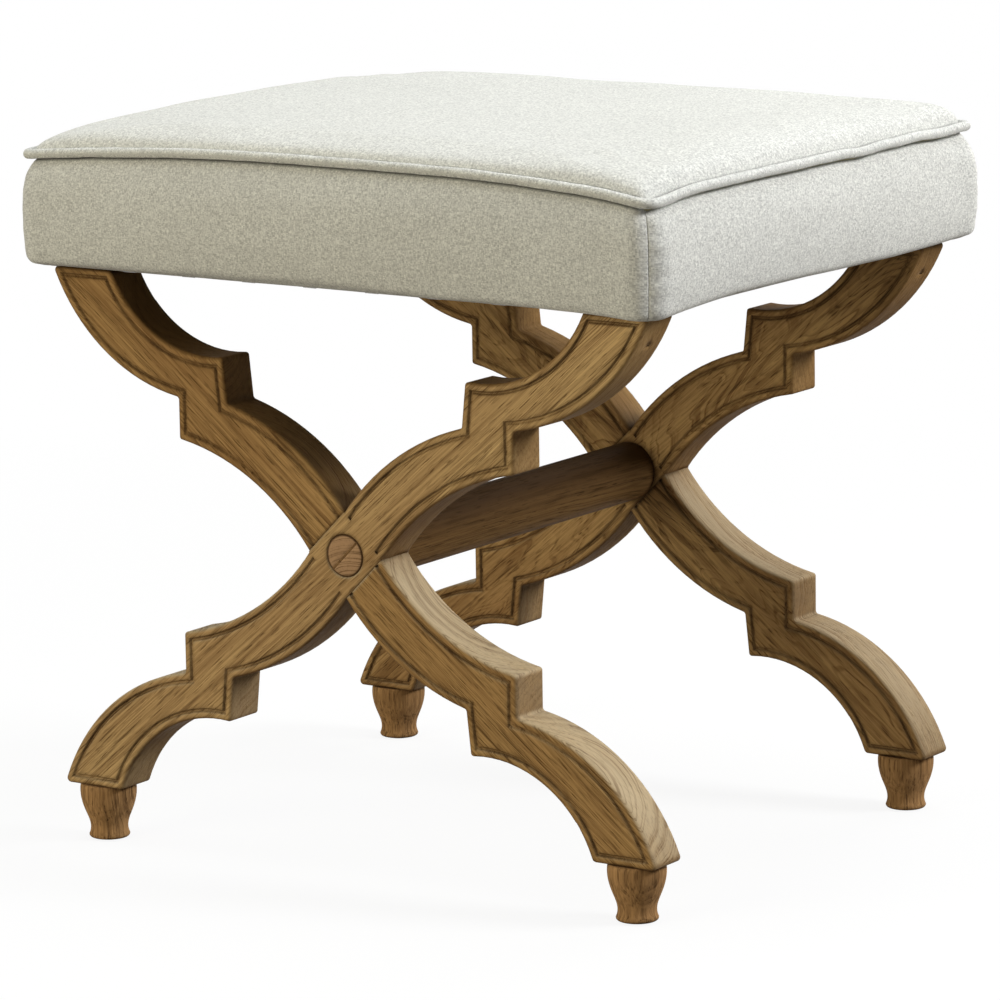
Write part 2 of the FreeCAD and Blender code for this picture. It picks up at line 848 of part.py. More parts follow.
def welt():
    """Round cord in its sleeve along the seam, arched at the front and the back."""
    half_x = corner_x + seat_corner
    half_y = corner_y + seat_corner
    z = seam_height + welt_rise
    arch = (corner_x ** 2 + seam_arch ** 2) / (2 * seam_arch)
    turn = math.degrees(2 * math.asin(corner_x / arch))
    shapes = []
    for sy in (-1, 1):
        ring = Part.Circle(V(-corner_x, sy * half_y, z), right, welt_radius).toShape()
        disc = Part.Face(Part.Wire(ring))
        disc.rotate(V(-corner_x, sy * half_y, z), back, -turn / 2)
        shapes.append(disc.revolve(V(0, sy * half_y, z + seam_arch - arch), back, turn))
        for sx in (-1, 1):
            pivot = V(sx * corner_x, sy * corner_y, z)
            ring = Part.Circle(V(sx * half_x, sy * corner_y, z), back, welt_radius).toShape()
            shapes.append(Part.Face(Part.Wire(ring)).revolve(pivot, up, 90 * sx * sy))
            shapes.append(Part.makeSphere(welt_radius, V(sx * corner_x, sy * half_y, z)))
    for sx in (-1, 1):
        shapes.append(rod(welt_radius, V(sx * half_x, -corner_y, z), back, 2 * corner_y))
    return joined(shapes)


def soft_parts(staple_shapes):
    pieces = cushion()
    pieces.update(boxing_panels(staple_shapes))
    pieces["welt"] = welt()
    half_x = seat_half_x - dust_inset
    half_y = seat_half_y - dust_inset
    dust = box(-half_x, half_x, -half_y, half_y, dust_bottom, dust_bottom + dust_thickness)
    pieces["dust_cover"] = dust.cut(top_dowel_holes()).cut(staple_shapes)
    return pieces


def build():
    pieces = {}
    pieces.update(legs())
    pieces.update(stretcher_pieces())
    pieces.update(feet())
    pieces.update(top_dowels())
    pieces.update(seat_frame())
    pieces.update(soft_parts(pieces["underside_staples"]))
    return pieces


os.makedirs("parts", exist_ok=True)
for node, shape in build().items():
    solids = shape.Solids
    bounds = shape.BoundBox
    print(
        f"{node:26s} solids {len(solids):2d} valid {shape.isValid()} volume {shape.Volume:10.1f}"
        f" x {bounds.XMin:7.1f} {bounds.XMax:7.1f} y {bounds.YMin:7.1f} {bounds.YMax:7.1f}"
        f" z {bounds.ZMin:6.1f} {bounds.ZMax:6.1f}"
    )
    shape.exportStep(os.path.join("parts", node + ".step"))
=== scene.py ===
import math

import bpy
import numpy as np
from mathutils import Matrix, Vector, noise


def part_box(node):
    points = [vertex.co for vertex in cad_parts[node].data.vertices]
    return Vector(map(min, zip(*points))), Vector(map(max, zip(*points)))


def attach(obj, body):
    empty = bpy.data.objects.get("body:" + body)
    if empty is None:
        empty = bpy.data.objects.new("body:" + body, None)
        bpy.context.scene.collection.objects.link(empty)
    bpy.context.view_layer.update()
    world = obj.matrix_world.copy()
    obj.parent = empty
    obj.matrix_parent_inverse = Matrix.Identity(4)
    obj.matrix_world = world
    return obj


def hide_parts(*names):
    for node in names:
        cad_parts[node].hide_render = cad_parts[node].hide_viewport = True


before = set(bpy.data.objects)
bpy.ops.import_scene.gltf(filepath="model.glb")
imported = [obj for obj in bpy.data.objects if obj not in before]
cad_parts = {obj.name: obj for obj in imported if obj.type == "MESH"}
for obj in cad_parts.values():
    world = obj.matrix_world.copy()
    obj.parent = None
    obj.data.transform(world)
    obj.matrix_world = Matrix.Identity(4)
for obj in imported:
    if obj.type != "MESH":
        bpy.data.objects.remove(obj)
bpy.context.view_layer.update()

# Footstool in metres: X along the wide front, Y from front to back, Z up.

# Camera that took the view
camera_azimuth = math.radians(34.01)
camera_elevation = math.radians(10.88)
camera_roll = math.radians(-0.87)
camera_distance = 3.6928
camera_target = Vector((-0.00445, 0.0, 0.21984))
camera_lens = 199.94

# Lamps: place, aim, size, power in watts, colour
lamps = {
    "right_box": ((2.3, 0.9, 1.75), (0, 0, 0.30), (0.9, 0.9), 73, (0.98, 0.99, 1.0)),
    "top_box": ((-0.3, 0.1, 2.8), (0, 0, 0.4), (2.2, 2.2), 46, (0.94, 0.98, 1.0)),
    "front_fill": ((-1.3, -3.4, 1.1), (0, 0, 0.25), (2.0, 1.6), 70, (1.0, 0.935, 0.74)),
    "back_fill": ((0.3, 3.5, 1.1), (0, 0, 0.25), (2.0, 1.6), 40, (1.0, 0.97, 0.92)),
}
world_tone = (1.0, 0.97, 0.92)
world_strength = 0.075

# Floor: what it throws back on the stool, and how its shadow fades with the way from the middle
floor_half = 30.0
floor_bounce = (0.20, 0.185, 0.165)
floor_pale = (0.95, 0.95, 0.95)
shadow_near = 0.45
shadow_far = 1.6
shadow_share = 0.10

# Seat outline at the seam, worked out from the welt's box
cord_radius = 0.0032
welt_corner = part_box("welt")[1]
seam_x = welt_corner.x - cord_radius
seam_y = welt_corner.y - cord_radius
corner_radius = 0.009
seam_low = 0.4556
seam_arch_x = 0.0104
seam_arch_y = 0.0030
seam_power_x = 2.8
seam_power_y = 5.0
# dips and rises of the seam along the right side: (y, height, reach)
seam_waves = (
    (-0.190, -0.0026, 0.028), (0.055, -0.0013, 0.017), (0.130, 0.0010, 0.020), (0.205, 0.0026, 0.030),
)
wave_fade = 0.050
# unevenness of the sewing: (height, waves to the metre, seed)
seam_side_noise = ((0.0007, 16, 3.1), (0.0003, 55, 8.2))
seam_rise_noise = ((0.0009, 14, 5.7), (0.0002, 48, 1.3))
# height of the lower hem round the seat: side by side from the front left corner
hem_heights = (
    (0.00, 0.3886), (0.25, 0.3896), (0.52, 0.3903), (0.60, 0.3894), (0.68, 0.3887), (0.80, 0.3883),
    (0.94, 0.3872), (1.00, 0.3848),
    (1.08, 0.3872), (1.30, 0.3898), (1.60, 0.3874), (1.77, 0.3872), (1.90, 0.3880), (2.00, 0.3904),
    (2.20, 0.3890), (2.50, 0.3893), (2.80, 0.3882), (3.00, 0.3868),
    (3.15, 0.3880), (3.40, 0.3890), (3.70, 0.3878), (4.00, 0.3880),
)
hem_noise = (0.0005, 22, 9.3)
hem_points = 400
hem_rounding = 17

# Piping: its cord lies on the seam, with small ears at the corners
welt_rise = 0.0034
cord_step = 0.0024
cord_sides = 14
cord_unevenness = 0.05
cord_wrinkles = ((0.00018, 0.1, 190, 6.1), (0.00022, 0.03, 60, 2.6))
ear_rise = 0.0005
ear_out = 0.0006
ear_reach = 0.018

# Top of the cushion
cover_inset = 0.0028
cover_start = 0.0032
top_level = 0.4778
top_rise_x = 0.0032
top_rise_y = 0.0018
shoulder_power = 30.0
# how much lower the top lies over each corner: front left, front right, back right, back left
corner_drops = (0.0040, 0.0040, -0.0026, 0.0036)
corner_drop_reach = 0.034
seam_fading = 14
top_noise = (0.0009, 9, 4.4)
cover_thickness = 0.0012
wadding_gap = 0.0016
wadding_thickness = 0.0034
foam_gap = 0.0056
foam_edge = 0.012

# Band round the sides; its upper edge hides under the welt: (inset, drop) of the rows there
hidden_hem = ((0.0085, -0.0034), (0.0008, -0.0001))
band_bulge = 0.0062
band_widest = 0.62
band_power = 3.6
back_swell = 0.0026
back_swell_reach = 0.050
band_low_drop = 0.22
band_foot_radius = 0.0055
band_flange = 0.020
flange_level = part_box("boxing_front")[0].z
band_thickness = 0.0012
welt_gap_front = 0.0003
welt_gap_side = 0.0031
welt_gap_corner = 0.0006
welt_gap_reach = 0.010
corner_groove = 0.0018
corner_groove_width = 0.0042
corner_pillow = 0.0010
corner_pillow_place = 0.010
corner_pillow_width = 0.008
pucker_heights = (0.0003, 0.0011, 0.0005, 0.0003)
pucker_pitch = 0.013
pucker_reach = 0.009
pucker_start = 0.002
tuck_in = 0.0001
tuck_depth = 0.0008

# Cloth mesh and its simulation
cells_x = 100
cells_y = 84
edge_crowding = 0.30
band_rows = 16
foot_rows = 4
flange_rows = 4
sim_frames = 20
sim_pressure = 2.2
sim_shrink = -0.0015
sim_cap = 0.0020
cloth_settings = dict(
    quality=6, mass=0.25, tension_stiffness=25, compression_stiffness=25, shear_stiffness=10,
    bending_stiffness=2.0, tension_damping=20,
)
even_rounds = 14
even_keep = 0.10

# Dust cloth under the seat
dust_cells = 40
dust_sag = 0.0012
dust_lift = 0.0002

# Woods: tones of the light and middle wood and of the dark lines
leg_tones = dict(light=(0.66, 0.42, 0.178), middle=(0.47, 0.277, 0.115), line=(0.155, 0.075, 0.027))
falling_tint = (0.91, 0.89, 0.84)
rising_tint = (1.19, 1.28, 1.40)
raw_tones = dict(light=(0.62, 0.45, 0.27), middle=(0.54, 0.38, 0.22), line=(0.33, 0.21, 0.11), pore=0.3)
top_dowel_tones = dict(
    light=(0.30, 0.20, 0.11), middle=(0.25, 0.16, 0.085), line=(0.15, 0.09, 0.045), pore=0.3,
)
# Stretcher: top_shade is the share of painted shade on its upper side
stretcher_tones = dict(
    light=(0.25, 0.140, 0.052), middle=(0.19, 0.103, 0.037), line=(0.08, 0.042, 0.015),
    tenon=(0.47, 0.285, 0.155), top_shade=0.85,
)
wedge_tones = dict(light=(0.36, 0.21, 0.09), middle=(0.28, 0.16, 0.07), line=(0.12, 0.06, 0.025))
foot_tones = dict(
    light=(0.55, 0.315, 0.135), middle=(0.41, 0.228, 0.095), line=(0.15, 0.078, 0.031), glaze_and_shade_reach=0.004,
)
grain_rise = math.radians(40)

# Growth rings: the heart's lean along the board, its sways and depth, and a ring's darkness across its width
ring_lean = 0.085
ring_sway = 0.045
ring_flutter = 0.0034
heart_depth = 0.024
rings_per_metre = 250.0
year_change = 2.2
ring_stops = ((0.0, 0.85), (0.09, 1.0), (0.26, 0.42), (0.55, 0.08), (0.86, 0.0), (1.0, 0.85))

# Tones of the legs' narrow faces, painted light and shade: painted light above, painted shade below and
# under the seat
leg_edge_painted_light = (0.60, 0.49, 0.32)
leg_edge_side = (0.28, 0.20, 0.115)
leg_edge_painted_seat_shade = (0.20, 0.11, 0.038)
leg_under_painted_shade = (0.13, 0.068, 0.026)
# the back legs' narrow faces get a weaker painted light
back_edge_paint = 0.66
edge_ease = 0.0050
# heights over which the narrow faces pass into the painted shade under the seat
edge_low = 0.20
edge_high = 0.26

# Stretcher's tenon, which shows as a disc, with a dark ring round it
tenon_radius = 0.0138
tenon_height = sum(corner.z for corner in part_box("stretcher")) / 2
tenon_face = (0.1825, 0.1830)

# Dark glaze of the stained wood, whose colour also serves for painted shade, and the plain materials
glaze_and_shade = (0.060, 0.030, 0.012)
wadding_tone = (0.80, 0.80, 0.77)
foam_tone = (0.80, 0.72, 0.46)
dust_tone = (0.022, 0.022, 0.024)
glide_tone = (0.05, 0.035, 0.028)
screw_tone = (0.62, 0.60, 0.55)
staple_tone = (0.30, 0.30, 0.31)

# Linen: mean tone, way from yarn to yarn, and how far the seams' shade reaches
linen_base = (0.715, 0.715, 0.668)
yarn_pitch = 0.00066
seam_shade = 0.0035


# Small helpers


def ride_root(piece, slot, *nodes):
    """Puts a modelled piece in place of CAD nodes, on the root body; the slot is not used."""
    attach(piece, "root")
    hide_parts(*nodes)


def mesh_piece(name, points, faces, weave=None, smooth=True):
    """A mesh object; weave holds each point's place on its flat cloth, in metres."""
    mesh = bpy.data.meshes.new(name)
    mesh.from_pydata([tuple(p) for p in points], [], faces)
    mesh.update()
    if weave is not None:
        layer = mesh.attributes.new("weave", "FLOAT_VECTOR", "POINT")
        layer.data.foreach_set("vector", np.asarray(weave, np.float32).ravel())
    if smooth:
        mesh.shade_smooth()
    piece = bpy.data.objects.new(name, mesh)
    bpy.context.scene.collection.objects.link(piece)
    return piece


def thicken(piece, thickness, finer=False):
    """Gives a cloth surface its thickness, inwards, and where asked a mesh twice as fine."""
    thick = piece.modifiers.new("thick", "SOLIDIFY")
    thick.thickness = thickness
    thick.offset = -1
    if finer:
        fine = piece.modifiers.new("fine", "SUBSURF")
        fine.levels = fine.render_levels = 1
    bpy.context.view_layer.update()
    graph = bpy.context.evaluated_depsgraph_get()
    done = bpy.data.meshes.new_from_object(piece.evaluated_get(graph))
    piece.modifiers.clear()
    piece.data = done


def wave(x, y, z, scale, seed=0.0):
    """Smooth noise from -1 to 1 at one place."""
    return noise.noise(Vector((x * scale + seed, y * scale - seed, z * scale + 2 * seed)))


# Materials


class Shader:
    """A material's node tree with short calls for the nodes used here; each call returns an output."""

    def __init__(self, name):
        self.material = bpy.data.materials.new(name)
        self.material.use_nodes = True
        self.tree = self.material.node_tree
        self.tree.nodes.clear()
        self.output = self.tree.nodes.new("ShaderNodeOutputMaterial")

    def node(self, kind, **settings):
        made = self.tree.nodes.new("ShaderNode" + kind)
        for key, value in settings.items():
            setattr(made, key, value)
        return made

    def feed(self, socket, value):
        if isinstance(value, bpy.types.NodeSocket):
            self.tree.links.new(value, socket)
        else:
            socket.default_value = value

    def math(self, operation, a, b=0.0, clamp=False):
        made = self.node("Math", operation=operation, use_clamp=clamp)
        self.feed(made.inputs[0], a)
        self.feed(made.inputs[1], b)
        return made.outputs[0]

    def vector(self, operation, a, b):
        made = self.node("VectorMath", operation=operation)
        self.feed(made.inputs[0], a)
        self.feed(made.inputs[1], b)
        return made.outputs[0]

    def mapped(self, source, scale=(1, 1, 1), rotation=(0, 0, 0), location=(0, 0, 0)):
        made = self.node("Mapping")
        self.feed(made.inputs["Vector"], source)
        made.inputs["Scale"].default_value = scale
        made.inputs["Rotation"].default_value = rotation
        made.inputs["Location"].default_value = location
        return made.outputs[0]

    def noise(self, source, scale=1.0, detail=2.0, roughness=0.5, distortion=0.0):
        made = self.node("TexNoise")
        self.feed(made.inputs["Vector"], source)
        made.inputs["Scale"].default_value = scale
        made.inputs["Detail"].default_value = detail
        made.inputs["Roughness"].default_value = roughness
        made.inputs["Distortion"].default_value = distortion
        return made.outputs["Fac"]

    def cells(self, source, scale):
        """A chance number for each cell of a flat grid."""
        made = self.node("TexWhiteNoise", noise_dimensions="2D")
        self.feed(made.inputs["Vector"], self.vector("FLOOR", self.mapped(source, scale=scale), (0, 0, 0)))
        return made.outputs["Value"]

    def ramp(self, source, stops, interpolation="LINEAR"):
        made = self.node("ValToRGB")
        self.feed(made.inputs[0], source)
        made.color_ramp.interpolation = interpolation
        elements = made.color_ramp.elements
        while len(elements) < len(stops):
            elements.new(1.0)
        for element, (place, colour) in zip(elements, stops):
            element.position = place
            element.color = (*colour, 1.0) if hasattr(colour, "__len__") else (colour, colour, colour, 1.0)
        return made.outputs[0]

    def spread(self, source, low, high, out_low=0.0, out_high=1.0):
        made = self.node("MapRange")
        self.feed(made.inputs[0], source)
        for i, value in enumerate((low, high, out_low, out_high)):
            made.inputs[i + 1].default_value = value
        return made.outputs[0]

    def mix(self, factor, a, b, blend="MIX"):
        made = self.node("Mix", data_type="RGBA", blend_type=blend)
        self.feed(made.inputs[0], factor)
        self.feed(made.inputs[6], a if isinstance(a, bpy.types.NodeSocket) else (*a, 1.0))
        self.feed(made.inputs[7], b if isinstance(b, bpy.types.NodeSocket) else (*b, 1.0))
        return made.outputs[2]

    def hollow(self, reach, low, high, share):
        """Share of grooves and corners no wider than the reach, for glaze and painted shade."""
        made = self.node("AmbientOcclusion", samples=8, only_local=False)
        made.inputs["Distance"].default_value = reach
        return self.spread(made.outputs["AO"], low, high, share, 0.0)

    def bump(self, height, strength, distance, below=None):
        made = self.node("Bump")
        self.feed(made.inputs["Height"], height)
        made.inputs["Strength"].default_value = strength
        made.inputs["Distance"].default_value = distance
        if below is not None:
            self.feed(made.inputs["Normal"], below)
        return made.outputs[0]

    def finish(self, colour, roughness, normal=None, **plain):
        """Ends in a Principled shader; plain holds numbers that are the same all over."""
        made = self.node("BsdfPrincipled")
        plain_colour = not isinstance(colour, bpy.types.NodeSocket)
        self.feed(made.inputs["Base Color"], (*colour, 1.0) if plain_colour else colour)
        self.feed(made.inputs["Roughness"], roughness)
        if normal is not None:
            self.feed(made.inputs["Normal"], normal)
        for key, value in plain.items():
            made.inputs[key.replace("_", " ").title().replace("Ior", "IOR")].default_value = value
        self.tree.links.new(made.outputs[0], self.output.inputs[0])
        return self.material


def growth_rings(s, board):
    """Dark lines of the growth rings, round an axis that leans a little out of the board."""
    split = s.node("SeparateXYZ")
    s.feed(split.inputs[0], board)
    along, across, depth = split.outputs
    sway = s.noise(s.mapped(board, scale=(3.0, 14, 14)), detail=3, roughness=0.55)
    flutter = s.noise(s.mapped(board, scale=(16, 90, 90), location=(2, 7, 1)), detail=2)
    leaning = s.math("ADD", s.math("MULTIPLY", along, ring_lean), across)
    swayed = s.math("ADD", leaning, s.math("MULTIPLY", s.math("SUBTRACT", sway, 0.5), ring_sway))
    swayed = s.math("ADD", swayed, s.math("MULTIPLY", s.math("SUBTRACT", flutter, 0.5), ring_flutter))
    deep = s.math("ADD", depth, heart_depth)
    reach = s.math("SQRT", s.math("ADD", s.math("MULTIPLY", swayed, swayed), s.math("MULTIPLY", deep, deep)))
    years = s.node("TexNoise", noise_dimensions="1D")
    s.feed(years.inputs["W"], s.math("MULTIPLY", reach, 120.0))
    count = s.math("MULTIPLY", reach, rings_per_metre)
    count = s.math("ADD", count, s.math("MULTIPLY", years.outputs["Fac"], year_change))
    return s.ramp(s.math("FRACT", count), ring_stops, "EASE")


def edge_faces(s, place, edge_paint, facing):
    """Share of the narrow faces' painted tone, 0 on the wide faces, and that tone: painted light above,
    painted shade below and under the seat.
    """
    split = s.node("SeparateXYZ")
    s.feed(split.inputs[0], facing)
    share = s.spread(s.math("ABSOLUTE", split.outputs[1]), 0.99, 0.80)
    side, top = (tuple(edge_paint * c for c in tone) for tone in (leg_edge_side, leg_edge_painted_light))
    # painted light: paler on narrow faces turned up
    painted_lit = s.mix(s.spread(split.outputs[2], 0.10, 0.65), side, top)
    height = s.node("SeparateXYZ")
    s.feed(height.inputs[0], place)
    # painted shade of the seat over the upper parts of the narrow faces
    tone = s.mix(s.spread(height.outputs[2], edge_low, edge_high), painted_lit, leg_edge_painted_seat_shade)
    # painted shade on narrow faces turned left and down
    turned_away = s.math("ADD", s.math("MULTIPLY", split.outputs[0], 0.6), split.outputs[2])
    return share, s.mix(s.spread(turned_away, -0.03, -0.30), tone, leg_under_painted_shade)


def wood_figure(s, board):
    """The board's figure: lines of the rings, pores as dashes, fibre, streaks and slow changes of tone."""
    rings = growth_rings(s, board)
    fading = s.noise(s.mapped(board, scale=(9, 60, 60), location=(4, 4, 4)), detail=2)
    ring_line = s.math("MULTIPLY", rings, s.spread(fading, 0.34, 0.66, 0.25, 1.0))
    # pores: short dark dashes along the grain, thickest in the rings' first growth
    short_dashes = s.noise(s.mapped(board, scale=(75, 900, 900)), detail=1.5, roughness=0.6)
    long_dashes = s.noise(s.mapped(board, scale=(26, 430, 430), location=(3, 1, 2)), detail=2)
    dash = s.math("MAXIMUM", s.spread(short_dashes, 0.56, 0.66), s.spread(long_dashes, 0.57, 0.68))
    dash = s.math("MULTIPLY", dash, s.math("ADD", 0.40, s.math("MULTIPLY", rings, 0.60)))
    fibre = s.noise(s.mapped(board, scale=(30, 1700, 1700)), detail=2)
    streak = s.noise(s.mapped(board, scale=(7, 420, 420), location=(6, 2, 3)), detail=3, roughness=0.6)
    tone = s.noise(s.mapped(board, scale=(4.0, 22, 22), location=(1, 5, 2)), detail=3, roughness=0.6)
    return ring_line, dash, fibre, streak, tone


def shaded_top(s, colour, share):
    """Painted shade on the upper side of a round bar, in the glaze's colour."""
    split = s.node("SeparateXYZ")
    s.feed(split.inputs[0], s.node("TexCoord").outputs["Normal"])
    return s.mix(s.spread(split.outputs[2], -0.5, 0.7, 0.0, share), colour, glaze_and_shade)


def tenon_end(s, place, colour, dash, tenon):
    """End grain of the stretcher's tenon, with a dark ring where it meets the leg."""
    split = s.node("SeparateXYZ")
    s.feed(split.inputs[0], place)
    end_share = s.spread(s.math("ABSOLUTE", split.outputs[1]), *tenon_face)
    colour = s.mix(end_share, colour, tenon)
    height = s.math("SUBTRACT", split.outputs[2], tenon_height)
    squares = s.math("ADD", s.math("POWER", split.outputs[0], 2), s.math("POWER", height, 2))
    ring = s.spread(s.math("SQRT", squares), tenon_radius - 0.0014, tenon_radius - 0.0006, 0.0, 0.85)
    colour = s.mix(s.math("MULTIPLY", end_share, ring), colour, glaze_and_shade)
    return colour, s.math("MULTIPLY", dash, s.spread(end_share, 0.0, 1.0, 1.0, 0.35))


def wood(name, turn, shift, light, middle, line, pore=0.75, glaze_and_shade_reach=0.0062, edge_paint=0.0, tenon=None,
         top_shade=0.0):
    """Open-grained wood. The turn lays the grain along the local X axis; the shift picks the board."""
    s = Shader(name)
    place = s.node("TexCoord").outputs["Object"]
    board = s.mapped(s.mapped(place, rotation=turn), location=shift)
    ring_line, dash, fibre, streak, tone = wood_figure(s, board)
    colour = s.mix(s.spread(tone, 0.34, 0.66), middle, light)
    colour = s.mix(s.spread(streak, 0.42, 0.64, 0.0, 0.46), colour, line)
    colour = s.mix(s.spread(fibre, 0.3, 0.7, 0.0, 0.20), colour, line)
    eased = s.node("Bevel", samples=8)
    eased.inputs["Radius"].default_value = edge_ease
    # painted light and shade on the legs' narrow faces
    if edge_paint > 0:
        edge_share, edge_tone = edge_faces(s, place, edge_paint, eased.outputs["Normal"])
        edge_share = s.math("MULTIPLY", edge_share, s.spread(tone, 0.30, 0.75, 0.85, 0.60))
        colour = s.mix(edge_share, colour, edge_tone)
        dash = s.math("MULTIPLY", dash, s.spread(edge_share, 0.0, 0.8, 1.0, 0.5))
    # painted shade on a bar's upper side
    if top_shade > 0:
        colour = shaded_top(s, colour, top_shade)
    if tenon is not None:
        colour, dash = tenon_end(s, place, colour, dash, tenon)
    colour = s.mix(s.math("MULTIPLY", ring_line, 0.70), colour, line)
    colour = s.mix(s.math("MULTIPLY", dash, pore), colour, tuple(0.48 * c for c in line))
    # dark glaze in grooves and corners, wiped away in places: partly real stain, partly painted shade of the
    # grooves and corners
    wiped = s.spread(s.noise(place, scale=24, detail=3), 0.36, 0.62, 0.30, 1.0)
    caught = s.math("MULTIPLY", s.hollow(glaze_and_shade_reach, 0.45, 0.95, 1.0), wiped)
    colour = s.mix(s.math("MULTIPLY", caught, 0.92), colour, glaze_and_shade)
    height = s.math("SUBTRACT", s.math("MULTIPLY", s.math("SUBTRACT", 1.0, ring_line), 0.35), dash)
    height = s.math("ADD", height, s.math("MULTIPLY", fibre, 0.25))
    normal = s.bump(height, 0.6, 0.00040, eased.outputs["Normal"])
    dents = s.noise(s.mapped(place, scale=(30, 30, 30)), detail=2)
    normal = s.bump(dents, 0.25, 0.0008, normal)
    rough = s.spread(s.math("ADD", dash, tone), 0.2, 1.4, 0.52, 0.72)
    return s.finish(colour, rough, normal, specular_ior_level=0.02)


def linen(name, base, bias=0.0):
    """Plain-woven heathered cloth; the weave lies on each piece's own flat cloth."""
    s = Shader(name)
    flat = s.node("Attribute", attribute_name="weave").outputs["Vector"]
    flat = s.mapped(flat, rotation=(0, 0, bias))
    split = s.node("SeparateXYZ")
    s.feed(split.inputs[0], flat)
    wobble = s.noise(s.mapped(flat, scale=(260, 260, 1)), detail=1)
    wobble = s.math("MULTIPLY", s.math("SUBTRACT", wobble, 0.5), 0.9)
    sines = []
    for place in split.outputs[:2]:
        sines.append(s.math("SINE", s.math("ADD", s.math("MULTIPLY", place, math.pi / yarn_pitch), wobble)))
    over = s.spread(s.math("MULTIPLY", *sines), -0.25, 0.25)
    # pale and dark lengths of the heathered yarns in both directions
    weft = s.cells(flat, (1 / (2.2 * yarn_pitch), 1 / yarn_pitch, 1))
    warp = s.cells(flat, (1 / yarn_pitch, 1 / (2.2 * yarn_pitch), 1))
    grain = s.noise(s.mapped(flat, scale=(1000, 1000, 1), location=(2, 9, 0)), detail=2, roughness=0.8)
    yarn = s.math("MULTIPLY", s.math("ADD", weft, warp), 0.30)
    yarn = s.math("ADD", yarn, s.math("MULTIPLY", grain, 0.40))
    slub = s.noise(s.mapped(flat, scale=(120, 900, 1), location=(5, 5, 0)), detail=2)
    drift = s.noise(s.mapped(flat, scale=(9, 12, 1)), detail=3, roughness=0.55)
    dark = (0.56 * base[0], 0.555 * base[1], 0.565 * base[2])
    pale = tuple(min(1.0, 1.30 * c) for c in base)
    colour = s.mix(s.spread(yarn, 0.17, 0.83), dark, pale)
    colour = s.mix(s.spread(slub, 0.58, 0.75, 0.0, 0.30), colour, dark)
    colour = s.mix(s.spread(drift, 0.30, 0.70, 0.0, 0.10), colour, dark)
    # shade gathered in the seams
    colour = s.mix(s.hollow(seam_shade, 0.25, 0.75, 0.92), colour, tuple(0.08 * c for c in base))
    rounds = [s.math("ABSOLUTE", sine) for sine in sines]
    height = s.math("MULTIPLY", rounds[1], over)
    height = s.math("ADD", height, s.math("MULTIPLY", rounds[0], s.math("SUBTRACT", 1.0, over)))
    height = s.math("ADD", height, s.math("MULTIPLY", yarn, 1.2))
    normal = s.bump(height, 0.40, 0.00022)
    return s.finish(colour, 0.92, normal, specular_ior_level=0.15, sheen_weight=0.15, sheen_roughness=0.55)


def felt(name, base, coarse=900.0):
    """Matted fibre, for the foam, the wadding and the cloth underneath."""
    s = Shader(name)
    place = s.node("TexCoord").outputs["Object"]
    fine = s.noise(s.mapped(place, scale=(coarse, coarse, coarse)), detail=3, roughness=0.7)
    soft = s.noise(place, scale=14, detail=2)
    colour = s.mix(s.spread(fine, 0.35, 0.70), tuple(0.72 * c for c in base), base)
    colour = s.mix(s.spread(soft, 0.3, 0.7, 0.0, 0.2), colour, tuple(0.8 * c for c in base))
    return s.finish(colour, 0.95, s.bump(fine, 0.4, 0.0004), specular_ior_level=0.15)


def metal(name, base):
    """Bare steel with fine scratches."""
    s = Shader(name)
    place = s.node("TexCoord").outputs["Object"]
    scratches = s.noise(s.mapped(place, scale=(400, 400, 90)), detail=3)
    colour = s.mix(s.spread(scratches, 0.3, 0.7), tuple(0.8 * c for c in base), base)
    return s.finish(colour, s.spread(scratches, 0.3, 0.7, 0.28, 0.45), metallic=1.0)


def plastic(name, base):
    """Dull moulded plastic."""
    s = Shader(name)
    place = s.node("TexCoord").outputs["Object"]
    grain = s.noise(s.mapped(place, scale=(1500, 1500, 1500)), detail=2)
    colour = s.mix(s.spread(grain, 0.3, 0.7), tuple(0.85 * c for c in base), base)
    return s.finish(colour, 0.55, s.bump(grain, 0.2, 0.0001))


def leg_finish(name, order):
    """Stained wood of one leg; each leg is cut from its own part of the board."""
    rise = grain_rise if name.endswith("rising") else -grain_rise
    shift = (0.37 * order, 0.012 * order - 0.01, 0.17 if name.startswith("front") else -0.17)
    tint = {"front_leg_falling": falling_tint, "front_leg_rising": rising_tint}.get(name, (1, 1, 1))
    tones = {key: tuple(t * c for t, c in zip(tint, colour)) for key, colour in leg_tones.items()}
    # strength of the painted edge light, weaker on the back legs
    edge_paint = 1.0 if name.startswith("front") else back_edge_paint
    return wood(name + "_wood", (0, rise, 0), shift, edge_paint=edge_paint, **tones)


